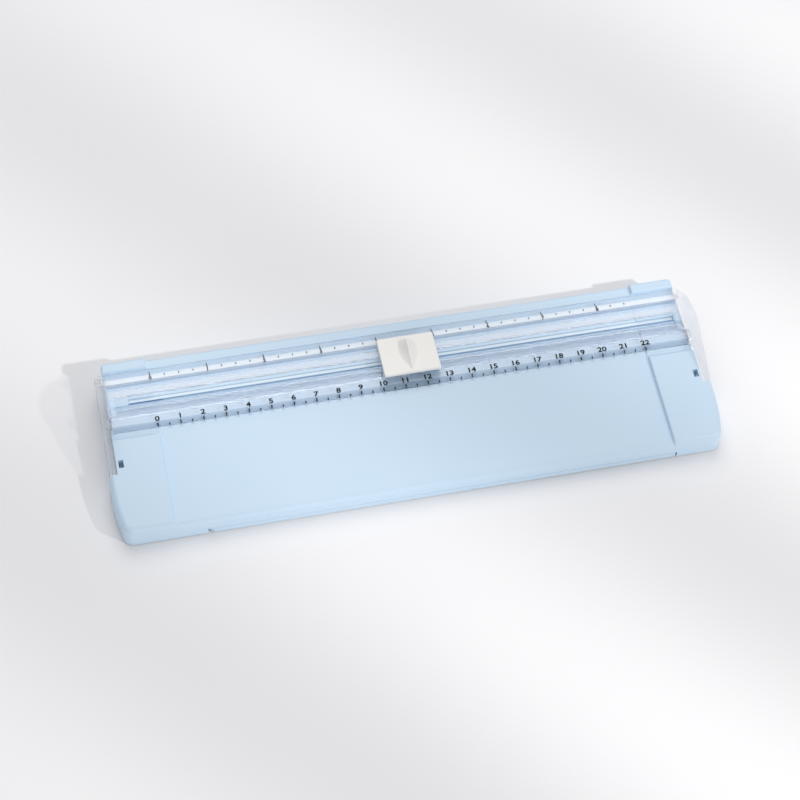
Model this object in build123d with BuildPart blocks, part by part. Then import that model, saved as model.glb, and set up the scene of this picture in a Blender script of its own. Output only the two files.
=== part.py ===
from build123d import *
from math import acos, atan, atan2, cos, hypot, radians, sin, tan
import os

os.makedirs("parts", exist_ok=True)

# Mini paper cutter: a moulded desk base with a sunken paper table, a clear slotted rail that lifts on two
# clear ears, a slider with a press-down blade, and a ruler arm that folds out from under the front edge.
# Millimetres. +X along the rail, +Y to the rear, +Z up. The origin is the middle of the footprint.

# Base, overall
base_length = 269.6
base_depth = 84.0
wall = 2.2
wall_draft = 1.5
corner_radius = 4.5
edge_radius = 2.4
strip_edge_radius = 1.2
foot_gap = 0.6
ceiling_z = 8.4

# Flared front ends, in plan
flare = 2.0
flare_length = 17.0
flare_front = 5.0

# Table, ledges, platforms and rear strip
table_length = 220.0
table_front_z = 9.9
table_z = 12.5
platform_rise = 1.8
step_edge_radius = 0.8
ledge_rise = 0.6
strip_depth = 5.0
strip_z = 14.3
ramp_depth = 9.7
ramp_rise = 0.9
block_z = 16.0
block_length = 19.6
block_radius = 1.0
block_corner_radius = 1.8

# Groove under the blade's path, and the strip on its floor
groove_left = 121.0
groove_right = 127.0
groove_floor_z = 9.8
cutting_strip_height = 2.2
cutting_strip_clearance = 0.1

# Ear recesses at the ends
ear_recess = 4.2
ear_gap = 0.4
ear_rim_depth = 1.5
ear_thickness = 1.8
ear_rim = 1.4
ear_bottom_z = 5.4
ear_boss_radius = 4.4
ear_front_run = 15.4
pivot_z = 9.8
pivot_pin_radius = 1.5
pivot_pin_clearance = 0.08
pivot_pin_length = 5.5
pivot_boss_radius = 3.4
notch_width = 2.2
notch_depth = 3.8
notch_wall = 1.0
notch_drop = 0.9
pin_end_gap = 0.3
pivot_boss_reach = 2.4
detent_radius = 2.2
detent_gap = 0.15
detent_inset = 12.0
detent_z = 10.0
dimple_depth = 0.5
dimple_radius = 1.8
detent_end_radius = 1.4

# Ear outline above the rail
ear_peak_z = 23.4
ear_peak_inset = 21.5
ear_shoulder_inset = 9.0
ear_shoulder_z = 20.3
ear_dip_inset = 28.3
ear_dip_z = 21.8
ear_bend_inset = 32.0
ear_bend_z = 19.8
ear_knee_inset = 39.5
ear_knee_z = 17.6
ear_rear_reach = 1.0
ear_rear_z = 12.0
ear_corner_radius = 4.0
ear_edge_radius = 0.5

# Clear rail
rail_depth = 30.1
rail_end_gap = 1.1
rail_rear_gap = 0.5
rail_relief_run = 1.0
paper_gap = 0.9
ledge_front = 3.6
rail_thickness = 1.9
rail_edge_height = 0.9
bevel_depth = 2.2
number_band = 3.6
fine_rib_count = 6
fine_rib_rise = 0.7
lip_rise = 0.8
front_lip = 0.9
rear_lip = 3.1
valley_depth = 3.5
scale_strip = 2.6
rear_edge_height = 0.5
relief_height = 1.0
slot_width = 5.0
slot_inset = 12.1
slot_end_wall = 2.5
rebate_depth = 1.2
rebate_height = 1.1
tongue_length = 2.4
tongue_depth = 5.0
tongue_height = 0.9
tongue_clearance = 0.05
tongue_front_inset = 2.6
rear_tongue_depth = 1.8
rear_tongue_height = 0.8
rear_tongue_inset = 0.5
rear_tongue_lift = 0.4
tongue_drop = 0.1

# Slider
slider_x = 3.75
slide_gap = 0.3
neck_length = 16.0
flange_length = 21.0
flange_depth = 13.0
flange_height = 0.45
carriage_foot_height = 0.6
carriage_foot_lift = 0.2
carriage_wall = 0.9
foot_screw_radius = 0.6
foot_screw_head_radius = 1.0
foot_screw_head_height = 0.35
foot_screw_spacing = 13.4
foot_screw_length = 2.6
flange_corner_radius = 1.5

# Press head
press_travel = 1.2
plate_length = 25.5
plate_depth = 19.5
plate_height = 1.5
plate_roof = 0.8
plate_recess_margin = 0.8
plate_radius = 0.4
plate_corner_radius = 0.8
fin_front_inset = 1.5
fin_sink = 0.2
fin_crest = 0.9
fin_waist = 0.42
fin_hollow = 0.36
fin_shoulder = 0.93
fin_sections = (
    (0.0, 0.9, 0.3),
    (3.2, 2.7, 1.5),
    (6.6, 4.2, 2.9),
    (10.6, 4.7, 3.8),
    (15.2, 4.3, 1.9),
)
holder_length = 10.0
holder_height = 3.7
holder_clearance = 0.35
blade_length = 8.0
blade_thickness = 0.4
blade_slot_clearance = 0.03
blade_height = 3.7
blade_edge_height = 1.7
blade_tip_lift = 0.1
blade_pin_radius = 0.6
blade_pin_z = 16.1
leaf_width = 3.0
leaf_thickness = 0.15
leaf_span = 11.0
leaf_gap = 0.05
leaf_offset = 8.0

# Feet
foot_radius = 5.0
foot_height = 2.2
foot_edge_radius = 0.5
foot_stem_radius = 1.6
foot_stem_height = 3.0
foot_boss_radius = 6.2
foot_inset_x = 12.0
foot_inset_y = 9.2

# Fold-out ruler arm
arm_tip_inset = 38.8
arm_width = 15.0
arm_thickness = 2.8
arm_bottom_z = 0.6
arm_gap = 0.5
arm_lift_gap = 0.3
arm_corner_radius = 0.5
arm_pivot_inset = 30.8
arm_tip_radius = 3.0
arm_edge_radius = 0.3
arm_play = 0.2
spigot_radius = 2.6
spigot_clearance = 0.08
arm_boss_radius = 5.5
washer_radius = 3.8
washer_thickness = 0.5
washer_recess_clearance = 0.4
arm_screw_radius = 1.25
arm_screw_head_radius = 2.4
arm_screw_head_height = 0.8
arm_screw_grip = 5.6
arm_screw_head_round = 0.2
screw_slot_width = 0.6
screw_slot_depth = 0.4

# Ribs under the base
rib_thickness = 1.4
rib_bottom_z = 1.8
rib_rows = 3
rib_columns = 7
rib_bite = 0.4

# Fits
fit_clearance = 0.03

# Places worked out from the sizes
front_y = -base_depth / 2
rear_y = base_depth / 2
strip_front_y = rear_y - strip_depth
rail_rear_y = strip_front_y - rail_rear_gap
rail_front_y = rail_rear_y - rail_depth
ledge_y = rail_front_y - ledge_front
slot_front_y = rail_front_y + slot_inset
slot_rear_y = slot_front_y + slot_width
cut_y = (slot_front_y + slot_rear_y) / 2
ramp_y = strip_front_y - ramp_depth
table_slope = (table_z - table_front_z) / (ledge_y - front_y)
wall_lean = tan(radians(wall_draft))
table_corner_z = (table_front_z - table_slope * foot_gap * wall_lean) / (1 - table_slope * wall_lean)
table_corner = (front_y + (table_corner_z - foot_gap) * wall_lean, table_corner_z)
end_face_x = base_length / 2 - ear_recess
rail_half = end_face_x - rail_end_gap
slot_half = rail_half - slot_end_wall
ear_rim_x = end_face_x + ear_gap
ear_plate_x = ear_rim_x + ear_rim_depth
pivot_y = rail_front_y - ear_front_run
recess_front_y = pivot_y - ear_boss_radius - ear_gap
block_inner_x = end_face_x - block_length
rail_z = table_z + paper_gap
web_z = rail_z + rail_thickness
rib_top_z = web_z + fine_rib_rise
lip_z = web_z + lip_rise
flange_z = lip_z + slide_gap
flange_top_z = flange_z + flange_height
carriage_foot_z = rail_z + carriage_foot_lift
carriage_foot_top_z = carriage_foot_z + carriage_foot_height
plate_bottom_z = lip_z + slide_gap + press_travel
plate_top_z = plate_bottom_z + plate_height
roof_z = plate_top_z - plate_roof
neck_depth = slot_width - 2 * slide_gap
window_depth = neck_depth - 2 * carriage_wall
window_length = holder_length + 2 * holder_clearance
holder_depth = window_depth - 2 * holder_clearance
blade_tip_z = rail_z - blade_tip_lift
arm_top_z = arm_bottom_z + arm_thickness
arm_rear_y = front_y + arm_width
arm_pivot_y = (front_y + arm_rear_y) / 2
arm_swing = hypot(arm_width / 2 - arm_corner_radius, arm_width / 2 - arm_corner_radius) + arm_corner_radius
arm_pivot_x = base_length / 2 - arm_pivot_inset
arm_tip_x = arm_tip_inset - base_length / 2
arm_length = arm_pivot_x - arm_tip_x
arm_bay_rear_y = arm_rear_y + arm_gap
arm_bay_top_z = arm_top_z + arm_lift_gap
spigot_z = arm_bottom_z + arm_thickness / 2
beyond = 12.0
detail = 0.05
foot_x = base_length / 2 - foot_inset_x
foot_y = base_depth / 2 - foot_inset_y
foot_names = ("foot_front_left", "foot_front_right", "foot_rear_left", "foot_rear_right")
foot_places = ((-foot_x, -foot_y), (foot_x, -foot_y), (-foot_x, foot_y), (foot_x, foot_y))
seated = (Align.CENTER, Align.CENTER, Align.MIN)
ramp_end_z = table_z + ramp_rise
relief_z = rail_z + relief_height
ridge_pitch = (slot_front_y - front_lip - rail_front_y - bevel_depth - number_band) / fine_rib_count
ridge_front_y = rail_front_y + bevel_depth + number_band
strip_print_y = slot_rear_y + rear_lip + valley_depth
inner_half = end_face_x - wall
shoulder_z = spigot_z + arm_play
detent_y = rail_rear_y - detent_inset
pin_end_x = ear_rim_x - pivot_pin_length + ear_rim_depth
notch_x = end_face_x - notch_wall - notch_width / 2
washer_bottom_z = spigot_z - washer_thickness
front_tongue_y = rail_front_y + tongue_front_inset + tongue_depth / 2
front_tongue_z = rail_z + (rail_thickness - tongue_height) / 2 - tongue_drop
rear_tongue_y = strip_print_y + rear_tongue_depth / 2 + rear_tongue_inset
rear_tongue_z = relief_z + rear_tongue_lift
ear_rear_y = rail_rear_y + ear_rear_reach
ear_peak = (rail_rear_y - ear_peak_inset, ear_peak_z)
ear_shoulder = (rail_rear_y - ear_shoulder_inset, ear_shoulder_z)
ear_slope_points = (
    (rail_rear_y - ear_dip_inset, ear_dip_z),
    (rail_rear_y - ear_bend_inset, ear_bend_z),
)
ear_knee = (rail_rear_y - ear_knee_inset, ear_knee_z)
foot_screw_top_z = carriage_foot_z + foot_screw_length
carriage_foot_depth = slot_width + 2 * rebate_depth - 2 * slide_gap
fin_front_y = cut_y - plate_depth / 2 + fin_front_inset
fin_widest = max(half_width for _, half_width, _ in fin_sections)
blade_top_z = blade_tip_z + blade_height


def save(piece, name):
    """Labels a finished piece and writes its file."""
    piece.part.label = name
    export_step(piece.part, f"parts/{name}.step")


def table_height(y):
    """Height of the sloping paper table at a distance y from the middle."""
    return table_z - table_slope * (ledge_y - y)


def plan_outline(inset):
    """Plan of the base with its flared ends, drawn in all round; it runs on past the rear."""
    half = base_length / 2 - inset
    front = front_y + inset
    flare_end_y = front + flare_front
    flare_start_y = flare_end_y + flare_length
    turn = 2 * atan(flare / flare_length)
    corner = (half - flare - flare_front * tan(turn), front)
    with BuildSketch() as plan:
        with BuildLine():
            side = Line((half, flare_start_y), (half, rear_y + beyond))
            Line(side @ 1, (0, rear_y + beyond))
            bend = TangentArc(side @ 0, (half - flare, flare_end_y), tangent=(0, -1))
            Line(bend @ 1, corner)
            Line(corner, (0, front))
            mirror(about=Plane.YZ)
        make_face()
        fillet(plan.vertices().group_by(Axis.Y)[0], corner_radius)
    return plan.sketch


def hollow_outline(inset):
    """Plan of the hollow under the base, drawn in all round from the walls' inner faces."""
    side = inner_half - inset
    with BuildSketch() as plan:
        add(plan_outline(wall + (ceiling_z - foot_gap) * wall_lean + inset))
        with Locations((0, rear_y - wall - inset + beyond)):
            Rectangle(2 * base_length, 2 * beyond, mode=Mode.SUBTRACT)
        front = recess_front_y - wall - inset
        for middle_x in (side + beyond / 2, -side - beyond / 2):
            with Locations((middle_x, (front + rear_y + beyond) / 2)):
                Rectangle(beyond, rear_y + beyond - front, mode=Mode.SUBTRACT)
    return plan.sketch


def touching_point(centre, radius, point, side):
    """Where a straight line from a point touches a circle; side is 1 or -1."""
    across = point[0] - centre[0]
    up = point[1] - centre[1]
    angle = atan2(up, across) + side * acos(radius / hypot(across, up))
    return (centre[0] + radius * cos(angle), centre[1] + radius * sin(angle))


def section(points):
    """Closed outline across the cutter from points given as distance to the rear and height."""
    with BuildSketch() as outline:
        with BuildLine():
            Polyline(*points, close=True)
        make_face()
    return outline.sketch


def table_body():
    """Outline across the base under the paper table, with its rounded front edge."""
    with BuildSketch() as outline:
        add(section([
            (front_y, foot_gap),
            (rear_y + beyond, foot_gap),
            (rear_y + beyond, block_z + beyond),
            (strip_front_y, block_z + beyond),
            (strip_front_y, ramp_end_z),
            (ramp_y, table_z),
            (ledge_y, table_z),
            table_corner,
        ]))
        fillet(outline.vertices().sort_by_distance((*table_corner, 0))[0], edge_radius)
    return outline.sketch


# Base shell: the outer block, drafted all round at the front and ends
with BuildPart() as base_shell:
    with BuildSketch(Plane.XY.offset(foot_gap)):
        add(plan_outline(0))
    extrude(amount=block_z - foot_gap, taper=wall_draft, dir=(0, 0, 1))

    # Side profile: platform slope, step down to the sloping ledge, ramp and rear block
    with BuildSketch(Plane.YZ):
        add(section([
            (front_y - beyond, foot_gap),
            (front_y - beyond, table_height(front_y - beyond) + platform_rise),
            (ledge_y, table_z + platform_rise),
            (ledge_y, table_z),
            (rail_front_y, table_z + ledge_rise),
            (ramp_y, table_z + ledge_rise),
            (strip_front_y, ramp_end_z),
            (strip_front_y, block_z),
            (rear_y, block_z),
            (rear_y, foot_gap),
        ]))
    extrude(amount=base_length, both=True, mode=Mode.INTERSECT)

    # Rounded top edge of the front and end platforms
    platform_edges = base_shell.edges().filter_by(
        lambda edge: edge.bounding_box().max.Y < ledge_y + detail
        and edge.bounding_box().min.Z > table_front_z
        and edge.bounding_box().size.Z < platform_rise
        and edge.bounding_box().min.Y < ledge_y - detail
    )
    fillet(platform_edges, edge_radius)

    # Sunken paper table, level under the rail, then ramped up to the rear strip
    with BuildSketch(Plane.YZ):
        with Locations((0, foot_gap)):
            Rectangle(2 * base_depth, block_z + beyond - foot_gap, align=(Align.CENTER, Align.MIN))
        add(table_body(), mode=Mode.SUBTRACT)
    extrude(amount=table_length / 2, both=True, mode=Mode.SUBTRACT)

    # Rounded edges where the platforms stand above the table
    step_edges = base_shell.edges().filter_by(
        lambda edge: abs(abs(edge.center().X) - table_length / 2) < detail
        and edge.center().Y < ledge_y
        and abs(edge.center().Z - table_height(edge.center().Y) - platform_rise) < detail
    )
    fillet(step_edges, step_edge_radius)

    # Rear strip between the two blocks
    with Locations((0, rear_y, strip_z)):
        Box(2 * block_inner_x, 2 * strip_depth, beyond, align=seated, mode=Mode.SUBTRACT)

    # Recesses that take the ears
    recess_middle_y = (recess_front_y + rear_y + beyond) / 2
    for middle_x in (end_face_x + beyond / 2, -end_face_x - beyond / 2):
        with Locations((middle_x, recess_middle_y, 0)):
            Box(
                beyond,
                rear_y + beyond - recess_front_y,
                block_z + beyond,
                align=seated,
                mode=Mode.SUBTRACT,
            )

    # Rounded corners and tops of the two rear blocks
    rear_corners = base_shell.edges().filter_by(Axis.Z).filter_by(
        lambda edge: edge.center().Y > rear_y - detail and abs(edge.center().X) > end_face_x - detail
    )
    fillet(rear_corners, block_corner_radius)
    block_edges = base_shell.edges().filter_by(lambda edge: edge.bounding_box().min.Z > block_z - detail)
    fillet(block_edges, block_radius)

    # Rounded rear edge of the strip
    strip_edges = base_shell.edges().filter_by(Axis.X).filter_by(
        lambda edge: abs(edge.center().Z - strip_z) < detail and edge.center().Y > rear_y - detail
    )
    fillet(strip_edges, strip_edge_radius)

    # Groove under the blade's path
    with Locations(((groove_right - groove_left) / 2, cut_y, groove_floor_z)):
        Box(groove_left + groove_right, slot_width, beyond, align=seated, mode=Mode.SUBTRACT)

    # Hollow underside
    with BuildSketch(Plane.XY):
        add(hollow_outline(0))
    extrude(amount=ceiling_z, mode=Mode.SUBTRACT)

    # Stiffening ribs, joined to the walls and the ceiling
    with BuildSketch(Plane.XY.offset(rib_bottom_z)):
        with GridLocations(0, base_depth / (rib_rows + 1), 1, rib_rows):
            Rectangle(base_length, rib_thickness)
        with GridLocations(base_length / (rib_columns + 1), 0, rib_columns, 1):
            Rectangle(rib_thickness, base_depth)
        add(hollow_outline(-rib_bite), mode=Mode.INTERSECT)
    extrude(amount=ceiling_z - rib_bottom_z + rib_bite)

    # Bay for the folded ruler arm, open to the front, with room for the arm's corner to swing round
    bay_left_x = arm_tip_x - arm_gap
    with Locations((arm_pivot_x, arm_pivot_y, 0)):
        Cylinder(arm_swing + arm_gap, arm_bay_top_z, align=seated, mode=Mode.SUBTRACT)
    with Locations(((bay_left_x + arm_pivot_x) / 2, arm_bay_rear_y, 0)):
        Box(
            arm_pivot_x - bay_left_x,
            base_depth / 2,
            arm_bay_top_z,
            align=(Align.CENTER, Align.MAX, Align.MIN),
            mode=Mode.SUBTRACT,
        )

    # Bosses for the feet, with the holes for their stems
    with Locations(*foot_places):
        with Locations((0, 0, foot_height)):
            Cylinder(foot_boss_radius, ceiling_z - foot_height + rib_bite, align=seated)
            Cylinder(
                foot_stem_radius + fit_clearance,
                foot_stem_height + fit_clearance,
                align=seated,
                mode=Mode.SUBTRACT,
            )

    # Boss and spigot that the ruler arm turns on, with the hole for its screw
    with Locations((arm_pivot_x, arm_pivot_y, arm_bay_top_z)):
        Cylinder(arm_boss_radius, ceiling_z - arm_bay_top_z + rib_bite, align=seated)
    with Locations((arm_pivot_x, arm_pivot_y, spigot_z)):
        Cylinder(spigot_radius, ceiling_z - spigot_z, align=seated)
        Cylinder(arm_screw_radius + fit_clearance, arm_screw_grip, align=seated, mode=Mode.SUBTRACT)

    # Bearings of the cover inside the end walls, and the notches that show its pins
    pin_run = end_face_x - pin_end_x + pin_end_gap
    for side in (-1, 1):
        boss_x = side * (inner_half + rib_bite - pivot_boss_reach / 2)
        with Locations(Location((boss_x, pivot_y, pivot_z), (0, 90, 0))):
            Cylinder(pivot_boss_radius, pivot_boss_reach)
        with Locations((side * notch_x, pivot_y, pivot_z - notch_drop)):
            Box(notch_width, notch_depth, beyond, align=seated, mode=Mode.SUBTRACT)
        hole_x = side * (end_face_x - pin_run / 2 + beyond / 2)
        with Locations(Location((hole_x, pivot_y, pivot_z), (0, 90, 0))):
            Cylinder(pivot_pin_radius + pivot_pin_clearance, pin_run + beyond, mode=Mode.SUBTRACT)
        with Locations(Location((side * end_face_x, detent_y, detent_z), (0, 90, 0))):
            Cylinder(dimple_radius, 2 * dimple_depth, mode=Mode.SUBTRACT)
save(base_shell, "base_shell")

# Replaceable strip on the groove's floor
with BuildPart() as cutting_strip:
    with Locations(((groove_right - groove_left) / 2, cut_y, groove_floor_z)):
        Box(
            groove_left + groove_right - 2 * cutting_strip_clearance,
            slot_width - 2 * cutting_strip_clearance,
            cutting_strip_height,
            align=seated,
        )
save(cutting_strip, "cutting_strip")

# Four rubber feet with stems pushed into the base
for foot_name, foot_place in zip(foot_names, foot_places):
    with BuildPart() as foot:
        with Locations((*foot_place, 0)):
            Cylinder(foot_radius, foot_height, align=seated)
        fillet(foot.edges().group_by(Axis.Z)[0], foot_edge_radius)
        with Locations((*foot_place, foot_height)):
            Cylinder(foot_stem_radius, foot_stem_height, align=seated)
    save(foot, foot_name)

# Fold-out ruler arm, lying folded along the front
with BuildPart() as ruler_arm:
    with BuildSketch(Plane.XY.offset(arm_bottom_z)) as arm_plan:
        with Locations(((arm_pivot_x + arm_tip_x) / 2, arm_pivot_y)):
            Rectangle(arm_length, arm_width)
        fillet(arm_plan.vertices().group_by(Axis.X)[0], arm_tip_radius)
        with Locations((arm_pivot_x, arm_pivot_y)):
            Circle(arm_width / 2)
            Rectangle(arm_width / 2, arm_width / 2, align=(Align.MIN, Align.MAX))
        fillet(
            arm_plan.vertices().sort_by_distance((arm_pivot_x + arm_width / 2, front_y, 0))[0],
            arm_corner_radius,
        )
    extrude(amount=arm_thickness)
    fillet(ruler_arm.edges().group_by(Axis.Z)[-1], arm_edge_radius)
    with Locations((arm_pivot_x, arm_pivot_y, 0)):
        Cylinder(washer_radius + washer_recess_clearance, shoulder_z, align=seated, mode=Mode.SUBTRACT)
        Cylinder(spigot_radius + spigot_clearance, beyond, align=seated, mode=Mode.SUBTRACT)
save(ruler_arm, "ruler_arm")

# Washer and screw that hold the arm on its spigot
with BuildPart() as ruler_pivot_washer:
    with Locations((arm_pivot_x, arm_pivot_y, washer_bottom_z)):
        Cylinder(washer_radius, washer_thickness, align=seated)
        Cylinder(arm_screw_radius + fit_clearance, washer_thickness, align=seated, mode=Mode.SUBTRACT)
save(ruler_pivot_washer, "ruler_pivot_washer")

with BuildPart() as ruler_pivot_screw:
    with Locations((arm_pivot_x, arm_pivot_y, washer_bottom_z - arm_screw_head_height)):
        Cylinder(arm_screw_head_radius, arm_screw_head_height, align=seated)
    fillet(ruler_pivot_screw.edges().group_by(Axis.Z)[0], arm_screw_head_round)
    with Locations((arm_pivot_x, arm_pivot_y, washer_bottom_z)):
        Cylinder(arm_screw_radius, arm_screw_grip, align=seated)
    with Locations((arm_pivot_x, arm_pivot_y, washer_bottom_z - arm_screw_head_height)):
        Box(
            2 * arm_screw_head_radius,
            screw_slot_width,
            screw_slot_depth,
            align=seated,
            mode=Mode.SUBTRACT,
        )
save(ruler_pivot_screw, "ruler_pivot_screw")

# Clear rail: bevelled front, smooth band, fine ridges, slot for the slider, valley and printed strip
ridge_line = []
for ridge in range(fine_rib_count):
    valley_y = ridge_front_y + ridge * ridge_pitch
    ridge_line += [(valley_y, web_z), (valley_y + ridge_pitch / 2, rib_top_z)]
rail_line = [
    (rail_front_y, rail_z),
    (rail_front_y, rail_z + rail_edge_height),
    (rail_front_y + bevel_depth, web_z),
    *ridge_line,
    (slot_front_y - front_lip, web_z),
    (slot_front_y - front_lip, lip_z),
    (slot_rear_y + rear_lip, lip_z),
    (slot_rear_y + rear_lip, web_z),
    (strip_print_y, web_z),
    (strip_print_y, lip_z),
    (strip_print_y + scale_strip, lip_z),
    (rail_rear_y, relief_z + rear_edge_height),
    (rail_rear_y, relief_z),
    (ramp_y + rail_relief_run, relief_z),
    (ramp_y, rail_z),
]
with BuildPart() as clear_rail:
    with BuildSketch(Plane.YZ):
        add(section(rail_line))
    extrude(amount=rail_half, both=True)
    with Locations((0, cut_y, rail_z)):
        Box(2 * slot_half, slot_width, beyond, align=seated, mode=Mode.SUBTRACT)
        Box(
            2 * slot_half,
            slot_width + 2 * rebate_depth,
            rebate_height,
            align=seated,
            mode=Mode.SUBTRACT,
        )
    for side in (-1, 1):
        with Locations((side * rail_half, front_tongue_y, front_tongue_z)):
            Box(2 * tongue_length, tongue_depth, tongue_height, align=seated)
        with Locations((side * rail_half, rear_tongue_y, rear_tongue_z)):
            Box(2 * tongue_length, rear_tongue_depth, rear_tongue_height, align=seated)
save(clear_rail, "clear_rail")

# Right ear: rimmed plate, pivot pin, seat for the rail's end and the bump that holds the cover shut
with BuildPart() as right_ear:
    meeting = touching_point((pivot_y, pivot_z), ear_boss_radius, ear_knee, 1)
    with BuildSketch(Plane.YZ.offset(ear_rim_x)) as ear_plan:
        with BuildLine():
            floor_line = Line((pivot_y, ear_bottom_z), (ear_rear_y - ear_corner_radius, ear_bottom_z))
            turn_up = TangentArc(
                floor_line @ 1,
                (ear_rear_y, ear_bottom_z + ear_corner_radius),
                tangent=(1, 0),
            )
            back_line = Line(turn_up @ 1, (ear_rear_y, ear_rear_z))
            crown = ThreePointArc(back_line @ 1, ear_shoulder, ear_peak)
            run_down = Spline(
                crown @ 1,
                *ear_slope_points,
                ear_knee,
                tangents=(crown % 1, (meeting[0] - ear_knee[0], meeting[1] - ear_knee[1])),
            )
            front_line = Line(run_down @ 1, meeting)
            ThreePointArc(front_line @ 1, (pivot_y - ear_boss_radius, pivot_z), floor_line @ 0)
        make_face()
    extrude(amount=ear_rim_depth + ear_thickness)
    fillet(right_ear.edges().group_by(Axis.X)[-1], ear_edge_radius)
    with BuildSketch(Plane.YZ.offset(ear_rim_x)):
        offset(ear_plan.sketch, -ear_rim, kind=Kind.INTERSECTION, mode=Mode.ADD)
    extrude(amount=ear_rim_depth, mode=Mode.SUBTRACT)

    # Pivot pin on its boss
    with Locations(Location((ear_plate_x, pivot_y, pivot_z), (0, -90, 0))):
        Cylinder(ear_boss_radius, ear_rim_depth, align=seated)
        Cylinder(pivot_pin_radius, ear_plate_x - pin_end_x, align=seated)

    # Seat for the rail's end, with the pockets for its tongues
    with BuildSketch(Plane.YZ.offset(rail_half)):
        add(section([
            (rail_front_y, rail_z),
            (rail_front_y, rail_z + rail_edge_height),
            (rail_front_y + bevel_depth, web_z),
            (ridge_front_y, web_z),
            (ridge_front_y + bevel_depth, lip_z),
            (strip_print_y + scale_strip, lip_z),
            (rail_rear_y, relief_z + rear_edge_height),
            (rail_rear_y, relief_z),
            (ramp_y + rail_relief_run, relief_z),
            (ramp_y, rail_z),
        ]))
    extrude(amount=ear_plate_x - rail_half)
    for tongue_y, tongue_z, depth, height in (
        (front_tongue_y, front_tongue_z, tongue_depth, tongue_height),
        (rear_tongue_y, rear_tongue_z, rear_tongue_depth, rear_tongue_height),
    ):
        with Locations((rail_half, tongue_y, tongue_z - tongue_clearance)):
            Box(
                2 * (tongue_length + tongue_clearance),
                depth + 2 * tongue_clearance,
                height + 2 * tongue_clearance,
                align=seated,
                mode=Mode.SUBTRACT,
            )

    # Bump that holds the cover shut, tapered to its flat end
    with Locations(Location((ear_plate_x, detent_y, detent_z), (0, -90, 0))):
        Cone(detent_radius, detent_end_radius, ear_plate_x - end_face_x - detent_gap, align=seated)
save(right_ear, "right_ear")

# Left ear, the mirror image
with BuildPart() as left_ear:
    mirror(right_ear.part, about=Plane.YZ)
save(left_ear, "left_ear")

# Carriage: flange on top of the rail and neck through its slot, with a window for the blade
with BuildPart() as carriage:
    with Locations((slider_x, cut_y, carriage_foot_top_z)):
        Box(neck_length, neck_depth, flange_z - carriage_foot_top_z, align=seated)
    with Locations((slider_x, cut_y, flange_z)):
        Box(flange_length, flange_depth, flange_height, align=seated)
    fillet(
        carriage.edges().filter_by(Axis.Z).filter_by(lambda edge: edge.center().Z > flange_z),
        flange_corner_radius,
    )
    with Locations((slider_x, cut_y, carriage_foot_top_z)):
        Box(window_length, window_depth, beyond, align=seated, mode=Mode.SUBTRACT)
        with GridLocations(foot_screw_spacing, 0, 2, 1):
            Cylinder(
                foot_screw_radius + fit_clearance,
                foot_screw_top_z - carriage_foot_top_z + fit_clearance,
                align=seated,
                mode=Mode.SUBTRACT,
            )
save(carriage, "carriage")

# Foot of the carriage, sliding in the rebate under the rail
with BuildPart() as carriage_foot:
    with Locations((slider_x, cut_y, carriage_foot_z)):
        Box(neck_length, carriage_foot_depth, carriage_foot_height, align=seated)
        Box(window_length, window_depth, carriage_foot_height, align=seated, mode=Mode.SUBTRACT)
        with GridLocations(foot_screw_spacing, 0, 2, 1):
            Cylinder(foot_screw_radius + fit_clearance, beyond, align=seated, mode=Mode.SUBTRACT)
            Cylinder(
                foot_screw_head_radius + fit_clearance,
                foot_screw_head_height,
                align=seated,
                mode=Mode.SUBTRACT,
            )
save(carriage_foot, "carriage_foot")

# Two screws that join the foot to the carriage
with BuildPart() as foot_screws:
    with Locations((slider_x, cut_y, carriage_foot_z)):
        with GridLocations(foot_screw_spacing, 0, 2, 1):
            Cylinder(foot_screw_head_radius, foot_screw_head_height, align=seated)
            Cylinder(foot_screw_radius, foot_screw_top_z - carriage_foot_z, align=seated)
save(foot_screws, "foot_screws")

# Arched leaf springs between the carriage and the press head, one at each end of the slider
for spring_name, spring_x in (
    ("return_spring_left", slider_x - leaf_offset),
    ("return_spring_right", slider_x + leaf_offset),
):
    with BuildPart() as spring:
        with BuildSketch(Plane.YZ.offset(spring_x)):
            with BuildLine() as leaf:
                ThreePointArc(
                    (cut_y - leaf_span / 2, flange_top_z + leaf_thickness / 2),
                    (cut_y, roof_z - leaf_gap - leaf_thickness / 2),
                    (cut_y + leaf_span / 2, flange_top_z + leaf_thickness / 2),
                )
                offset(amount=leaf_thickness / 2, side=Side.BOTH)
            make_face()
        extrude(amount=leaf_width / 2, both=True)
    save(spring, spring_name)

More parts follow.
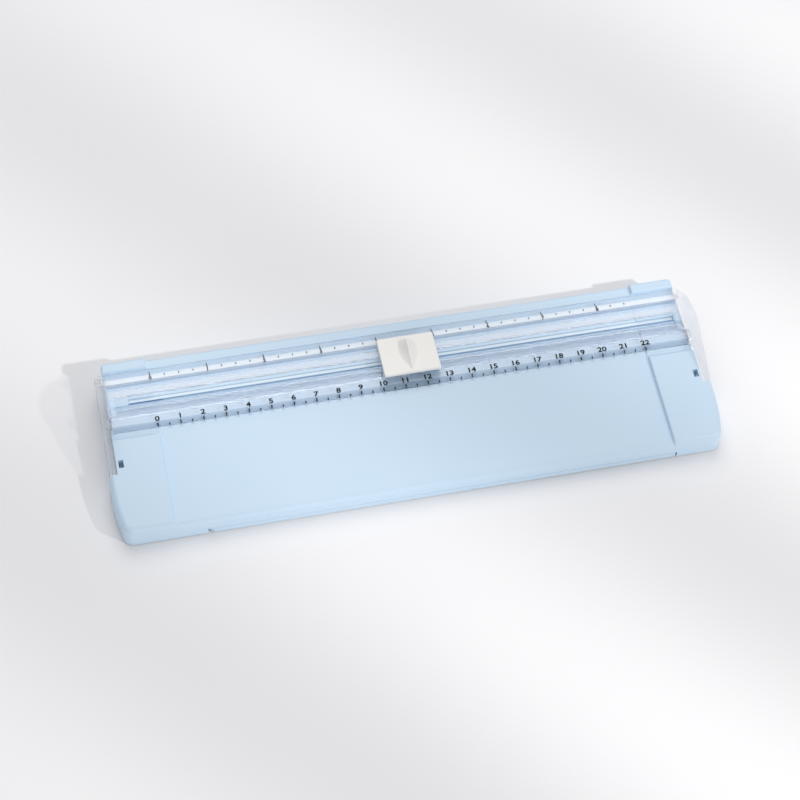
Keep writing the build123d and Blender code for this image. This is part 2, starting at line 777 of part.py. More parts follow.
# Press head: plate with a recess underneath, and a thumb fin along its middle
with BuildPart() as thumb_plate:
    with Locations((slider_x, cut_y, plate_bottom_z)):
        Box(plate_length, plate_depth, plate_height, align=seated)
    fillet(thumb_plate.edges().filter_by(Axis.Z), plate_corner_radius)
    fillet(thumb_plate.edges().group_by(Axis.Z)[-1], plate_radius)
    for behind_front, half_width, rise in fin_sections:
        with BuildSketch(Plane.XZ.offset(-fin_front_y - behind_front)):
            with BuildLine():
                foot_line = Line(
                    (slider_x - half_width, plate_top_z - fin_sink),
                    (slider_x + half_width, plate_top_z - fin_sink),
                )
                crest_half = fin_crest * half_width / 2 / fin_widest
                crest_z = plate_top_z + rise * fin_shoulder
                right_flank = ThreePointArc(
                    foot_line @ 1,
                    (
                        slider_x + crest_half + (half_width - crest_half) * fin_waist,
                        plate_top_z - fin_sink + (crest_z - plate_top_z + fin_sink) * fin_hollow,
                    ),
                    (slider_x + crest_half, crest_z),
                )
                crest = ThreePointArc(
                    right_flank @ 1,
                    (slider_x, plate_top_z + rise),
                    (slider_x - crest_half, crest_z),
                )
                ThreePointArc(
                    crest @ 1,
                    (
                        slider_x - crest_half - (half_width - crest_half) * fin_waist,
                        plate_top_z - fin_sink + (crest_z - plate_top_z + fin_sink) * fin_hollow,
                    ),
                    foot_line @ 0,
                )
            make_face()
    loft()
    with Locations((slider_x, cut_y, plate_bottom_z)):
        Box(
            flange_length + 2 * plate_recess_margin,
            flange_depth + 2 * plate_recess_margin,
            roof_z - plate_bottom_z,
            align=seated,
            mode=Mode.SUBTRACT,
        )
save(thumb_plate, "thumb_plate")

# Holder under the press head, slotted for the blade
with BuildPart() as blade_holder:
    with Locations((slider_x, cut_y, roof_z - holder_height)):
        Box(holder_length, holder_depth, holder_height, align=seated)
        Box(
            blade_length + 2 * blade_slot_clearance,
            blade_thickness + 2 * blade_slot_clearance,
            blade_top_z + blade_slot_clearance - roof_z + holder_height,
            align=seated,
            mode=Mode.SUBTRACT,
        )
    with Locations(Location((slider_x, cut_y, blade_pin_z), (90, 0, 0))):
        Cylinder(blade_pin_radius + fit_clearance, holder_depth + detail, mode=Mode.SUBTRACT)
save(blade_holder, "blade_holder")

# Blade with two bevelled lower edges that meet in a point
with BuildPart() as blade:
    with BuildSketch(Plane.XZ.offset(-cut_y)):
        with BuildLine():
            Polyline(
                (slider_x, blade_tip_z),
                (slider_x + blade_length / 2, blade_tip_z + blade_edge_height),
                (slider_x + blade_length / 2, blade_top_z),
                (slider_x - blade_length / 2, blade_top_z),
                (slider_x - blade_length / 2, blade_tip_z + blade_edge_height),
                close=True,
            )
        make_face()
    extrude(amount=blade_thickness / 2, both=True)
    with Locations(Location((slider_x, cut_y, blade_pin_z), (90, 0, 0))):
        Cylinder(blade_pin_radius + fit_clearance, holder_depth, mode=Mode.SUBTRACT)
save(blade, "blade")

# Pin that fixes the blade in its holder
with BuildPart() as blade_pin:
    with Locations(Location((slider_x, cut_y, blade_pin_z), (90, 0, 0))):
        Cylinder(blade_pin_radius, holder_depth)
save(blade_pin, "blade_pin")
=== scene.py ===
# %% [markdown]
# A mini paper cutter, dressed for a picture.
# The solids come from the CAD model and are already the right size and in the right place. This lesson gives
# each of them a finish, adds the printed scales that no solid can carry, and sets up a floor, lights and a
# camera. Lengths on the model are in millimetres and turned to metres where they are used. The places and
# sizes of the floor and the lamps are in metres.

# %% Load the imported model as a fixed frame
import math
import bpy
from mathutils import Matrix, Vector


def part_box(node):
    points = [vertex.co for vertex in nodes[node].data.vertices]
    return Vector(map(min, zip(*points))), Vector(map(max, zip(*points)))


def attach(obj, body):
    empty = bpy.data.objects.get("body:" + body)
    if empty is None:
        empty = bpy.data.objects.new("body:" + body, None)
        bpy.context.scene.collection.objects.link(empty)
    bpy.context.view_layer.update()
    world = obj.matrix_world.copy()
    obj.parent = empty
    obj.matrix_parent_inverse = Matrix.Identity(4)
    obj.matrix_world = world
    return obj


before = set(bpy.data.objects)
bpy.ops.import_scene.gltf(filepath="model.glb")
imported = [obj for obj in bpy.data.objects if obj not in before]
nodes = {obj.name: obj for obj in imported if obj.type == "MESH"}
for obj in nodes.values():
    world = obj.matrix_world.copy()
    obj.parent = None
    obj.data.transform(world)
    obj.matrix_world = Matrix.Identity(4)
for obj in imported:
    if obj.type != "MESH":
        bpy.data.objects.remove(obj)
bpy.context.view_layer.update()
MM = 0.001

# %% [markdown]
# The camera first. A product photograph like this one is taken with a long lens from well above, so that
# lines stay almost parallel. The camera's place and turn were worked out from the printed scales, whose
# marks have known distances, so a mark in the picture and the same mark on the model meet.

# %% The camera at the photograph's view
CAMERA_PLACE = Vector((-139.3, -491.9, 800.9)) * MM
CAMERA_RIGHT = Vector((0.9776, -0.20696, 0.0382))
CAMERA_DOWN = Vector((-0.15353, -0.82546, -0.54318))
CAMERA_FORWARD = Vector((0.14395, 0.52515, -0.83875))
SENSOR_WIDTH = 36.0
LENS = 96.2
NEAREST_SEEN = 0.01
FARTHEST_SEEN = 20.0
camera_data = bpy.data.cameras.new("photo_camera")
camera_data.sensor_width = SENSOR_WIDTH
camera_data.lens = LENS
camera_data.clip_start = NEAREST_SEEN
camera_data.clip_end = FARTHEST_SEEN
camera = bpy.data.objects.new("photo_camera", camera_data)
bpy.context.scene.collection.objects.link(camera)
turn = Matrix((CAMERA_RIGHT, -CAMERA_DOWN, -CAMERA_FORWARD)).transposed()
camera.matrix_world = Matrix.Translation(CAMERA_PLACE) @ turn.to_4x4()
bpy.context.scene.camera = camera
print("camera distance in mm:", round(camera.location.length / MM))

# %% [markdown]
# Small helpers keep the finishes short. Paint charts and picture editors give colours as hex codes, in which
# dark tones are spread out. A shader works with the amount of light, so each code is turned to linear values
# first. A node is added together with its inputs, and each input is a value or the socket that feeds it. A
# Mix node has three pairs of sockets with the same names, one pair for each kind of value, so its colour
# sockets are called by number.

# %% Helpers for colours and shader nodes
COLOUR_A, COLOUR_B, COLOUR_MIXED = 6, 7, 2


def hex_linear(code):
    """Linear colour values for an sRGB hex code, with full alpha."""
    channels = [int(code[i:i + 2], 16) / 255 for i in (1, 3, 5)]
    linear = [c / 12.92 if c <= 0.04045 else ((c + 0.055) / 1.055) ** 2.4 for c in channels]
    return (*linear, 1.0)


def add_node(tree, kind, inputs=None, **settings):
    """One shader node with its settings; each input is a value, or the socket that feeds it."""
    made = tree.nodes.new(kind)
    for name, value in settings.items():
        setattr(made, name, value)
    for name, given in (inputs or {}).items():
        if isinstance(given, bpy.types.NodeSocket):
            tree.links.new(given, made.inputs[name])
        else:
            made.inputs[name].default_value = given
    return made


def calculate(tree, operation, *terms):
    """The result of one Math node; each term is a number or a socket."""
    return add_node(tree, "ShaderNodeMath", dict(enumerate(terms)), operation=operation).outputs["Value"]


def noise(tree, place, grain, detail, roughness=0.5):
    """Smooth noise from 0 to 1, with grains of a size in millimetres."""
    made = add_node(
        tree, "ShaderNodeTexNoise",
        {"Vector": place, "Scale": 1 / (grain * MM), "Detail": detail, "Roughness": roughness},
    )
    return made.outputs["Fac"]


def spread(tree, value, least, most):
    """A value from 0 to 1, brought to a range."""
    made = add_node(tree, "ShaderNodeMapRange", {"Value": value, "To Min": least, "To Max": most})
    return made.outputs["Result"]


def uneven(tree, height, strength, depth):
    """Normals of a surface with fine bumps, whose depth is in millimetres."""
    made = add_node(tree, "ShaderNodeBump", {"Height": height, "Strength": strength, "Distance": depth * MM})
    return made.outputs["Normal"]


def mix_colours(tree, share, first, second):
    """Two colours mixed: a share of 0 gives the first, and 1 the second."""
    made = add_node(
        tree, "ShaderNodeMix", {"Factor": share, COLOUR_A: first, COLOUR_B: second}, data_type="RGBA",
    )
    return made.outputs[COLOUR_MIXED]


def mix_shaders(tree, share, first, second):
    """Two shaders mixed: a share of 0 gives the first, and 1 the second."""
    return add_node(tree, "ShaderNodeMixShader", {"Fac": share, 1: first, 2: second}).outputs["Shader"]


def new_material(name):
    """An empty material, its nodes, the place on the object and the surface that is to be fed."""
    material = bpy.data.materials.new(name)
    material.use_nodes = True
    tree = material.node_tree
    tree.nodes.clear()
    place = add_node(tree, "ShaderNodeTexCoord").outputs["Object"]
    surface = add_node(tree, "ShaderNodeOutputMaterial").inputs["Surface"]
    return material, tree, place, surface


def give(material, *names):
    """Puts a material on CAD nodes by name."""
    for name in names:
        nodes[name].data.materials.clear()
        nodes[name].data.materials.append(material)


# %% [markdown]
# The base is taken to be injection-moulded ABS in a pale blue. ABS takes the fine matt skin of its steel
# mould, so the light spreads a little, yet rounded edges still catch a soft line of light. The colour is
# even, with only a faint cloudiness where the melt cooled at different speeds. The mould's skin has grains
# of about 0.15 mm; that is too fine for this picture, so it is drawn at 0.5 mm and very shallow. One noise
# drives both the bumps and the gloss, because both come from the same skin.

# %% Moulded plastic
ABS_IOR = 1.54
POLYPROPYLENE_IOR = 1.49
CLOUD_SIZE = 40.0
SKIN_GRAIN = 0.5
SKIN_STRENGTH = 0.25
SKIN_DEPTH = 0.01
SKIN_SHINIER = 0.04
SKIN_DULLER = 0.06


def moulded_plastic(name, body_hex, cloud_hex, roughness, ior):
    """Injection-moulded plastic with faint clouds in its colour and the fine skin of its mould."""
    material, tree, place, surface = new_material(name)
    clouds = noise(tree, place, CLOUD_SIZE, detail=2.0)
    grain = noise(tree, place, SKIN_GRAIN, detail=3.0, roughness=0.6)
    plastic = add_node(tree, "ShaderNodeBsdfPrincipled", {
        "Base Color": mix_colours(tree, clouds, hex_linear(body_hex), hex_linear(cloud_hex)),
        "Roughness": spread(tree, grain, roughness - SKIN_SHINIER, roughness + SKIN_DULLER),
        "Normal": uneven(tree, grain, SKIN_STRENGTH, SKIN_DEPTH),
        "IOR": ior,
    })
    tree.links.new(plastic.outputs["BSDF"], surface)
    return material


pale_blue_abs = moulded_plastic(
    "pale_blue_moulded_abs", body_hex="#CADFF1", cloud_hex="#C5DCEF", roughness=0.42, ior=ABS_IOR,
)
give(pale_blue_abs, "base_shell", "ruler_arm")
white_abs = moulded_plastic(
    "warm_white_moulded_abs", body_hex="#F5F3F0", cloud_hex="#F1EEEA", roughness=0.40, ior=ABS_IOR,
)
give(white_abs, "thumb_plate", "carriage", "carriage_foot", "blade_holder")
print("moulded plastics:", pale_blue_abs.name, white_abs.name)

# %% [markdown]
# The cutting strip is taken to be softer polypropylene, which closes up again behind the blade. A fine
# dark line is painted along it where the slot's front edge shades the groove, and it ends in a darker dash
# at the left, where the groove runs deeper under the raised end of the base. Both are painted shade: the
# colour changes where the place on the strip is within that line, and is darker still at the left end.

# %% The cutting strip and its painted slot shade
SLOT_SHADE_AT = 21.3
SLOT_SHADE_HALF_WIDTH = 0.6
SLOT_SHADE_HEX = "#7597B8"
DEEP_SHADE_LEFT_OF = -106.0
DEEP_SHADE_HEX = "#3C6A9A"
pale_strip = moulded_plastic(
    "pale_moulded_polypropylene", body_hex="#E4F0FA", cloud_hex="#DEECF7", roughness=0.5,
    ior=POLYPROPYLENE_IOR,
)
strip_tree = pale_strip.node_tree
strip_base = strip_tree.nodes["Principled BSDF"].inputs["Base Color"]
strip_place = add_node(strip_tree, "ShaderNodeTexCoord").outputs["Object"]
strip_ways = add_node(strip_tree, "ShaderNodeSeparateXYZ", {"Vector": strip_place}).outputs
# Painted shade: a dark line along the slot's front edge, darker still at the left end of the groove.
in_slot_shade = calculate(strip_tree, "COMPARE", strip_ways["Y"], SLOT_SHADE_AT * MM, SLOT_SHADE_HALF_WIDTH * MM)
at_left = calculate(strip_tree, "LESS_THAN", strip_ways["X"], DEEP_SHADE_LEFT_OF * MM)
deep_shade = calculate(strip_tree, "MULTIPLY", in_slot_shade, at_left)
slot_shaded = mix_colours(strip_tree, in_slot_shade, strip_base.links[0].from_socket, hex_linear(SLOT_SHADE_HEX))
deep_shaded = mix_colours(strip_tree, deep_shade, slot_shaded, hex_linear(DEEP_SHADE_HEX))
strip_tree.links.new(deep_shaded, strip_base)
give(pale_strip, "cutting_strip")
print("strip:", pale_strip.name, "slot_shade in mm behind the middle:", SLOT_SHADE_AT)

# %% [markdown]
# The rail and the ears are taken to be clear styrene acrylonitrile, the hard glass-clear plastic of rulers.
# Its index is 1.57. Light bends through every rib and edge, which draws the fine lines along the rail. Two
# things need care. A ray tracer can't aim lamps through bent glass, so for rays towards a lamp, and for
# light on its way between dull surfaces, the plastic counts as a thin film that bends nothing and takes away
# little light: that keeps the soft shadow of clear plastic, and the table below it is lit. And light that is
# caught inside a rib would come out black when the tracer gives up on it, so behind a given line a part of
# the plastic lets the eye straight through.

# %% Clear plastic
CLEAR_IOR = 1.57
FLOW_SIZE = 3.0
CLEAR_ROUGHEST = 0.02
FROST_AND_HIGHLIGHT_HEX = "#F1F4FA"
FROST_ROUGHNESS = 0.45


def clear_plastic(name, film_hex, open_from, open_share, bands):
    """Clear plastic; bands are distances to the rear with the tint and the frosting that starts there."""
    material, tree, place, surface = new_material(name)
    behind = add_node(tree, "ShaderNodeSeparateXYZ", {"Vector": place}).outputs["Y"]
    first, last = bands[0][0], bands[-1][0]
    along_ramp = add_node(
        tree, "ShaderNodeMapRange", {"Value": behind, "From Min": first * MM, "From Max": last * MM},
    )
    ramp = add_node(tree, "ShaderNodeValToRGB", {"Fac": along_ramp.outputs["Result"]})
    ramp.color_ramp.interpolation = "CONSTANT"
    stops = ramp.color_ramp.elements
    while len(stops) < len(bands):
        stops.new(1.0)
    for stop, (start, tint_hex, frosting) in zip(stops, bands):
        stop.position = (start - first) / (last - first)
        stop.color = (*hex_linear(tint_hex)[:3], frosting)
    flow = noise(tree, place, FLOW_SIZE, detail=2.0)
    clear = add_node(tree, "ShaderNodeBsdfPrincipled", {
        "Base Color": ramp.outputs["Color"],
        "Roughness": spread(tree, flow, least=0.0, most=CLEAR_ROUGHEST),
        "IOR": CLEAR_IOR,
        "Transmission Weight": 1.0,
    })
    straight = add_node(tree, "ShaderNodeBsdfTransparent", {"Color": ramp.outputs["Color"]})
    is_open = calculate(tree, "GREATER_THAN", behind, open_from * MM)
    share = spread(tree, is_open, least=0.0, most=open_share)
    eased = mix_shaders(tree, share, clear.outputs["BSDF"], straight.outputs["BSDF"])
    # The frosted layer is partly painted highlight: it stands for the white streaks that ribs and edges
    # reflect.
    frost_and_highlight = add_node(tree, "ShaderNodeBsdfPrincipled", {
        "Base Color": hex_linear(FROST_AND_HIGHLIGHT_HEX), "Roughness": FROST_ROUGHNESS, "IOR": CLEAR_IOR,
    })
    seen = mix_shaders(tree, ramp.outputs["Alpha"], eased, frost_and_highlight.outputs["BSDF"])
    rays = add_node(tree, "ShaderNodeLightPath")
    film = add_node(tree, "ShaderNodeBsdfTransparent", {"Color": hex_linear(film_hex)})
    bounced = mix_shaders(tree, rays.outputs["Is Diffuse Ray"], seen, film.outputs["BSDF"])
    lamp_lit = mix_shaders(tree, rays.outputs["Is Shadow Ray"], bounced, film.outputs["BSDF"])
    tree.links.new(lamp_lit, surface)
    return material


# %% [markdown]
# The rail isn't equally clear all over. Its raised strip and lips get a white frosted skin that scatters
# light, and the fine ridges a little of it: this white is partly painted highlight, standing for the streaks
# of light that these faces reflect. The smooth bands between them stay clear, and the band along the
# bevelled front edge has a darker tint, which is painted shade. The rail is one solid whose faces stay as
# they are, so one material tells its bands apart by their distance behind the middle. Each row starts a band
# with its tint and its share of frosting; the last row only ends the scale.

# %% The rail and the ears
RAIL_BANDS = (
    # The darker tint of this first band, along the bevel, is painted shade.
    (6.4, "#D0D8E2", 0.0),
    (8.6, "#ECEDF1", 0.0),
    (12.2, "#E6EAF1", 0.06),
    (17.6, "#E4EDF7", 0.0),
    (18.7, "#F8FCFF", 0.0),
    (23.5, "#F4F4F7", 0.25),
    (26.6, "#F6F8FC", 0.02),
    (28.8, "#CFD6E0", 0.0),
    (30.1, "#FFFFFF", 0.45),
    (32.5, "#F4F6F9", 0.05),
    (36.6, "#F4F6F9", 0.05),
)
RIDGES_FROM = 12.2
rail_plastic = clear_plastic(
    "clear_styrene_rail", film_hex="#FCFDFE", open_from=RIDGES_FROM, open_share=0.4, bands=RAIL_BANDS,
)
give(rail_plastic, "clear_rail")
EAR_BANDS = (
    (-14.0, "#FFFFFF", 0.05),
    (6.0, "#FFFFFF", 0.02),
    (38.0, "#FFFFFF", 0.02),
)
BEFORE_THE_EARS = -20.0
ear_plastic = clear_plastic(
    "clear_styrene_ear", film_hex="#E6E7EA", open_from=BEFORE_THE_EARS, open_share=0.72, bands=EAR_BANDS,
)
give(ear_plastic, "left_ear", "right_ear")
print("clear plastics:", rail_plastic.name, ear_plastic.name, "bands:", len(RAIL_BANDS) - 1)

# %% [markdown]
# The small steel parts are hardly seen, but they are there from below and from the side. Rolled spring
# steel and a ground blade both carry fine lines along the way they were worked, so a noise that is stretched
# in one direction sets their gloss and their bumps. The screws and the washer are nickel plated and have no
# such direction.

# %% Steel
LINE_STRENGTH = 0.2
LINE_DEPTH = 0.01
GLOSS_SWING = 0.08


def worked_steel(name, steel_hex, roughness, line_width, stretch):
    """Steel with fine lines left by rolling, grinding or polishing."""
    material, tree, place, surface = new_material(name)
    along = add_node(tree, "ShaderNodeMapping", {"Vector": place, "Scale": (1.0, 1.0, stretch)})
    lines = noise(tree, along.outputs["Vector"], line_width, detail=4.0, roughness=0.6)
    steel = add_node(tree, "ShaderNodeBsdfPrincipled", {
        "Base Color": hex_linear(steel_hex),
        "Metallic": 1.0,
        "Roughness": spread(tree, lines, roughness - GLOSS_SWING, roughness + GLOSS_SWING),
        "Normal": uneven(tree, lines, LINE_STRENGTH, LINE_DEPTH),
    })
    tree.links.new(steel.outputs["BSDF"], surface)
    return material


blade_steel = worked_steel(
    "ground_blade_steel", steel_hex="#CDD0D4", roughness=0.22, line_width=0.2, stretch=0.1,
)
give(blade_steel, "blade")
spring_steel = worked_steel(
    "rolled_spring_steel", steel_hex="#B4B6BA", roughness=0.35, line_width=0.3, stretch=0.3,
)
give(spring_steel, "return_spring_left", "return_spring_right", "blade_pin")
nickel_plate = worked_steel(
    "nickel_plated_steel", steel_hex="#D3CFC6", roughness=0.25, line_width=0.4, stretch=1.0,
)
give(nickel_plate, "ruler_pivot_screw", "ruler_pivot_washer", "foot_screws")
print("metals:", blade_steel.name, spring_steel.name, nickel_plate.name)

# %% [markdown]
# The feet are taken to be moulded rubber, dull and a little dusty, with a grain of about 0.3 mm that is
# drawn as it is. The same noise makes the bumps and the gloss, since dust lies where the skin is rough.

# %% Rubber
RUBBER_IOR = 1.52
RUBBER_GRAIN = 0.3
RUBBER_STRENGTH = 0.4
RUBBER_DEPTH = 0.03
foot_rubber, rubber_tree, rubber_place, rubber_surface = new_material("moulded_black_rubber")
rubber_grain = noise(rubber_tree, rubber_place, RUBBER_GRAIN, detail=3.0)
rubber_body = add_node(rubber_tree, "ShaderNodeBsdfPrincipled", {
    "Base Color": hex_linear("#2A2B2D"),
    "IOR": RUBBER_IOR,
    "Roughness": spread(rubber_tree, rubber_grain, least=0.7, most=0.9),
    "Normal": uneven(rubber_tree, rubber_grain, RUBBER_STRENGTH, RUBBER_DEPTH),
})
rubber_tree.links.new(rubber_body.outputs["BSDF"], rubber_surface)
give(foot_rubber, "foot_front_left", "foot_front_right", "foot_rear_left", "foot_rear_right")
print("rubber:", foot_rubber.name)

# %% [markdown]
# The scales are printed in black. Here the centimetre ticks are on the underside of the clear rail and are
# read through the plastic; the numbers are on top of it, where no rib bends their edges. Dried ink is dull
# where it is thick and shinier where it is thin, in spots of about half a millimetre.

# %% The ink
INK_IOR = 1.45
INK_SPOT = 0.6
print_ink, ink_tree, ink_place, ink_surface = new_material("black_printing_ink")
ink_spots = noise(ink_tree, ink_place, INK_SPOT, detail=2.0)
ink_body = add_node(ink_tree, "ShaderNodeBsdfPrincipled", {
    "Base Color": hex_linear("#03060F"),
    "IOR": INK_IOR,
    "Roughness": spread(ink_tree, ink_spots, least=0.6, most=0.8),
})
ink_tree.links.new(ink_body.outputs["BSDF"], ink_surface)
print("ink:", print_ink.name)

# %% [markdown]
# Printing ink is a few hundredths of a millimetre thick, so each mark is a flat plate of that thickness. As
# geometry it stays sharp from any distance, and no picture file is needed. A tick is a primitive plane,
# scaled to a thin bar. A number starts as a text object, which is made a mesh before it is widened. All
# marks of one kind are then joined to one piece, given the thickness of ink with Solidify, and put on the
# cover's body, so that they lift with it. So that no face of the ink shares a plane with the plastic, a
# mark starts one thickness under a face that it hangs from, and one and a half above a face that it lies
# on.

# %% Helpers for the print
INK = 0.02
HANGING = -INK
LYING = 1.5 * INK
SCALE_LEFT = -110.0
CAPITAL_SHARE = 0.72
DIGIT_WIDENING = 1.2
CURVE_STEPS = 3


def clear_selection():
    """Leaves edit mode and deselects everything."""
    if bpy.context.mode != "OBJECT":
        bpy.ops.object.mode_set(mode="OBJECT")
    bpy.ops.object.select_all(action="DESELECT")


def print_on_cover(marks, name):
    """Joins flat marks to one piece of ink thickness, which moves with the cover."""
    clear_selection()
    for mark in marks:
        mark.select_set(True)
    bpy.context.view_layer.objects.active = marks[0]
    bpy.ops.object.join()
    piece = bpy.context.active_object
    piece.name = name
    piece.data.name = name
    bpy.ops.object.transform_apply(location=True, rotation=True, scale=True)
    layer = piece.modifiers.new("ink_thickness", "SOLIDIFY")
    layer.thickness = INK * MM
    layer.offset = -1.0
    bpy.ops.object.modifier_apply(modifier=layer.name)
    piece.data.materials.clear()
    piece.data.materials.append(print_ink)
    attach(piece, "cover")
    return piece


def tick(x, y_from, y_to, z, width):
    """One printed mark as a flat bar, from one distance behind the middle to another."""
    clear_selection()
    bpy.ops.mesh.primitive_plane_add(size=1.0, location=(x * MM, (y_from + y_to) / 2 * MM, z * MM))
    mark = bpy.context.active_object
    mark.scale = (width * MM, (y_to - y_from) * MM, 1.0)
    bpy.ops.object.transform_apply(location=True, rotation=True, scale=True)
    return mark


def numeral(number, x, y, z, height, stroke):
    """One printed number as a flat mesh, centred on x, standing on y."""
    clear_selection()
    bpy.ops.object.text_add(location=(x * MM, y * MM, z * MM))
    word = bpy.context.active_object
    word.data.body = str(number)
    word.data.size = height * MM / CAPITAL_SHARE
    word.data.align_x = "CENTER"
    word.data.offset = stroke * MM
    word.data.resolution_u = CURVE_STEPS
    bpy.ops.object.convert(target="MESH")
    word = bpy.context.active_object
    word.scale = (DIGIT_WIDENING, 1.0, 1.0)
    bpy.ops.object.transform_apply(location=True, rotation=True, scale=True)
    return word


# %% [markdown]
# The centimetre scale starts at the left edge of the paper table and runs along the rail's bevelled front
# edge: a tick at each centimetre, a shorter one at each half, and bold numbers on the smooth band behind.

# %% The centimetre scale
rail_low, rail_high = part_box("clear_rail")
RAIL_THICKNESS = 1.9
CENTIMETRE = 10.0
CENTIMETRES = 22
EDGE_MARGIN = 0.05
CM_Z = rail_low[2] / MM + HANGING
CM_FRONT = rail_low[1] / MM + EDGE_MARGIN
CM_LONG = 2.4
CM_SHORT = 1.8
CM_TICK_WIDTH = 0.62
BAND_Z = rail_low[2] / MM + RAIL_THICKNESS + LYING
CM_NUMBER_Y = 8.72
CM_NUMBER_HEIGHT = 2.45
CM_STROKE = 0.11
cm_marks = []
for half in range(2 * CENTIMETRES + 1):
    x = SCALE_LEFT + CENTIMETRE / 2 * half
    reach = CM_SHORT if half % 2 else CM_LONG
    cm_marks.append(tick(x, CM_FRONT, CM_FRONT + reach, CM_Z, CM_TICK_WIDTH))
cm_words = [
    numeral(n, SCALE_LEFT + CENTIMETRE * n, CM_NUMBER_Y, BAND_Z, CM_NUMBER_HEIGHT, CM_STROKE)
    for n in range(CENTIMETRES + 1)
]
print("centimetre marks:", len(cm_marks), "numbers:", len(cm_words), "height in mm:", round(CM_Z, 2))
print_on_cover(cm_marks, "cm_scale_ticks")
print_on_cover(cm_words, "cm_scale_numbers")

# %% [markdown]
# The inch scale is printed on top of the raised strip near the rail's rear edge, with a fine tick at each
# quarter and a long one at each inch. The long one runs on under the slope behind the strip. The small
# numbers stand on the front part of the strip. The scale ends half an inch after its last number.

# %% The inch scale
INCH = 25.4
INCHES = 8
QUARTERS = 4 * INCHES + 2
RELIEF_HEIGHT = 1.0
STRIP_Z = rail_high[2] / MM + LYING
STRIP_MIDDLE = 31.2
ABOVE_NUMBER = 31.8
STRIP_REAR = 32.7
SLOPE_Z = rail_low[2] / MM + RELIEF_HEIGHT + HANGING
INCH_REAR = 35.0
QUARTER_REAR = 32.2
INCH_TICK_WIDTH = 0.5
QUARTER_TICK_WIDTH = 0.45
INCH_NUMBER_Y = 30.2
INCH_NUMBER_HEIGHT = 1.5
INCH_STROKE = 0.08
inch_marks = []
for quarter in range(QUARTERS + 1):
    x = SCALE_LEFT + INCH / 4 * quarter
    if quarter % 4:
        inch_marks.append(tick(x, STRIP_MIDDLE, QUARTER_REAR, STRIP_Z, QUARTER_TICK_WIDTH))
    else:
        inch_marks.append(tick(x, ABOVE_NUMBER, STRIP_REAR, STRIP_Z, INCH_TICK_WIDTH))
        inch_marks.append(tick(x, STRIP_REAR, INCH_REAR, SLOPE_Z, INCH_TICK_WIDTH))
inch_words = [
    numeral(n, SCALE_LEFT + INCH * n, INCH_NUMBER_Y, STRIP_Z, INCH_NUMBER_HEIGHT, INCH_STROKE)
    for n in range(INCHES + 1)
]
print("inch marks:", len(inch_marks), "numbers:", len(inch_words), "height in mm:", round(STRIP_Z, 2))
print_on_cover(inch_marks, "inch_scale_ticks")
print_on_cover(inch_words, "inch_scale_numbers")

# %% [markdown]
# The floor is a large sheet of matt white board, and a flat plane is enough for it. A wide, faint noise in
# its colour paints soft patches of lighter and darker light on the board, which is painted light; the lamps
# and the shadows do the rest.

# %% Floor
FLOOR_SIZE = 6.0
PAINTED_LIGHT_PATCH_SIZE = 125.0
clear_selection()
bpy.ops.mesh.primitive_plane_add(size=FLOOR_SIZE, location=(0.0, 0.0, 0.0))
floor = bpy.context.active_object
floor.name = "white_board_floor"
board, board_tree, board_place, board_surface = new_material("matt_white_board")
# Painted light: soft lighter and darker patches in the board's colour.
painted_light_patches = noise(board_tree, board_place, PAINTED_LIGHT_PATCH_SIZE, detail=2.0)
board_body = add_node(board_tree, "ShaderNodeBsdfPrincipled", {
    "Base Color": mix_colours(board_tree, painted_light_patches, hex_linear("#F2F1F3"), hex_linear("#F6F5F6")),
    "Roughness": 0.9,
    "Specular IOR Level": 0.2,
})
board_tree.links.new(board_body.outputs["BSDF"], board_surface)
floor.data.materials.append(board)

# %% [markdown]
# The key light is a small lamp to the right and in front, a little over a metre away: it throws the
# long shadow to the left and rear, and leaves the right side brighter. Its light comes as through a window
# blind, in broad soft bands that cross the board and fade out away from the model. They are made in the lamp
# itself: from the way a ray leaves it, the nodes work out where that ray meets the board, and a cosine of
# that place sets its strength.

# %% The key lamp and its bands
KEY_PLACE = Vector((0.70, -0.64, 0.78))
KEY_RADIUS = 0.025
KEY_WATTS = 17.5
KEY_COLOUR = (1.0, 0.985, 0.965)
BAND_WAY = Vector((0.747, 0.665))
BAND_PITCH = 0.183
BAND_DARK_AT = 0.033
BAND_LEAST = 0.46
BAND_MOST = 1.46
BANDS_FULL_TO = 0.30
BANDS_GONE_AT = 0.65
key_data = bpy.data.lights.new("key_lamp", "POINT")
key_data.shadow_soft_size = KEY_RADIUS
key_data.energy = KEY_WATTS
key_data.color = KEY_COLOUR
key = bpy.data.objects.new("key_lamp", key_data)
bpy.context.scene.collection.objects.link(key)
key.location = KEY_PLACE
key_data.use_nodes = True
key_tree = key_data.node_tree
leaving = add_node(key_tree, "ShaderNodeTexCoord").outputs["Normal"]
ways = add_node(key_tree, "ShaderNodeSeparateXYZ", {"Vector": leaving}).outputs
run_x = calculate(key_tree, "DIVIDE", ways["X"], ways["Z"])
run_y = calculate(key_tree, "DIVIDE", ways["Y"], ways["Z"])
run = add_node(key_tree, "ShaderNodeCombineXYZ", {"X": run_x, "Y": run_y, "Z": 1.0}).outputs["Vector"]
turns = 2 * math.pi / BAND_PITCH
to_turns = (
    -KEY_PLACE.z * BAND_WAY.x * turns,
    -KEY_PLACE.z * BAND_WAY.y * turns,
    (KEY_PLACE.x * BAND_WAY.x + KEY_PLACE.y * BAND_WAY.y - BAND_DARK_AT) * turns,
)
across_bands = add_node(key_tree, "ShaderNodeVectorMath", {0: run, 1: to_turns}, operation="DOT_PRODUCT")
swing = calculate(key_tree, "COSINE", across_bands.outputs["Value"])
to_middle = (KEY_PLACE.x / KEY_PLACE.z, KEY_PLACE.y / KEY_PLACE.z, 1.0)
away = add_node(key_tree, "ShaderNodeVectorMath", {0: run, 1: to_middle}, operation="DISTANCE")
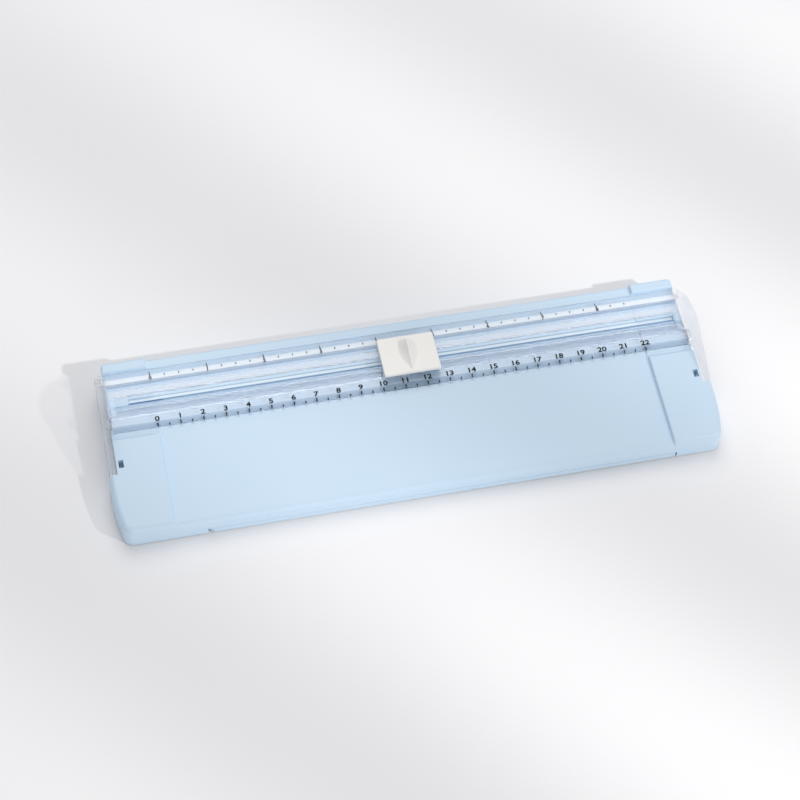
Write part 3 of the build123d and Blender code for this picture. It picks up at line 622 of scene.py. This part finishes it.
fade = add_node(key_tree, "ShaderNodeMapRange", {
    "Value": away.outputs["Value"],
    "From Min": BANDS_FULL_TO / KEY_PLACE.z,
    "From Max": BANDS_GONE_AT / KEY_PLACE.z,
    "To Min": 1.0,
    "To Max": 0.0,
})
band_light = add_node(key_tree, "ShaderNodeMapRange", {
    "Value": calculate(key_tree, "MULTIPLY", swing, fade.outputs["Result"]),
    "From Min": 1.0,
    "From Max": -1.0,
    "To Min": BAND_LEAST,
    "To Max": BAND_MOST,
})
key_tree.links.new(band_light.outputs["Result"], key_tree.nodes["Emission"].inputs["Strength"])
print("key lamp bands every", round(BAND_PITCH / MM), "mm, from", BAND_LEAST, "to", BAND_MOST)

# %% [markdown]
# Two soft panels. One above and behind stands where the camera's view mirrors off the table, and lays a pale
# sheen on level surfaces. One low in front lifts the front wall, as a white card beside the camera does. The
# world fills the shadows, as the pale walls of a room do; what gloss mirrors of the room is darker, because
# a ceiling is dimmer than the walls. Looked at straight or through clear plastic, it's a white backdrop.

# %% Panels and world
WALLS_STRENGTH = 0.505
CEILING_STRENGTH = 0.25
ROOM_COLOUR = (0.97, 0.985, 1.0, 1.0)
BACKDROP_STRENGTH = 0.92
BACKDROP_COLOUR = (0.975, 0.98, 0.99, 1.0)


def soft_panel(name, place, size, watts):
    """A square lamp that faces the model and isn't seen through the clear plastic."""
    data = bpy.data.lights.new(name, "AREA")
    data.shape = "SQUARE"
    data.size = size
    data.energy = watts
    made = bpy.data.objects.new(name, data)
    bpy.context.scene.collection.objects.link(made)
    made.rotation_mode = "QUATERNION"
    made.location = place
    made.rotation_quaternion = (-made.location).to_track_quat("-Z", "Y")
    made.visible_transmission = False
    return made


sheen = soft_panel("sheen_panel", place=(0.04, 0.66, 1.15), size=0.95, watts=6.0)
card = soft_panel("front_card", place=(-0.06, -1.20, 0.10), size=0.50, watts=3.4)
world = bpy.data.worlds.new("soft_room")
bpy.context.scene.world = world
world.use_nodes = True
room_tree = world.node_tree
walls = room_tree.nodes["Background"]
walls.inputs["Color"].default_value = ROOM_COLOUR
walls.inputs["Strength"].default_value = WALLS_STRENGTH
ceiling = add_node(room_tree, "ShaderNodeBackground", {"Color": ROOM_COLOUR, "Strength": CEILING_STRENGTH})
backdrop = add_node(
    room_tree, "ShaderNodeBackground", {"Color": BACKDROP_COLOUR, "Strength": BACKDROP_STRENGTH},
)
rays = add_node(room_tree, "ShaderNodeLightPath").outputs
room = mix_shaders(
    room_tree, rays["Is Glossy Ray"], walls.outputs["Background"], ceiling.outputs["Background"],
)
looked_at = calculate(room_tree, "MAXIMUM", rays["Is Camera Ray"], rays["Is Transmission Ray"])
shown = mix_shaders(room_tree, looked_at, room, backdrop.outputs["Background"])
room_tree.links.new(shown, room_tree.nodes["World Output"].inputs["Surface"])
bpy.context.scene.view_settings.view_transform = "Standard"
print("panels and world:", sheen.name, card.name, world.name)
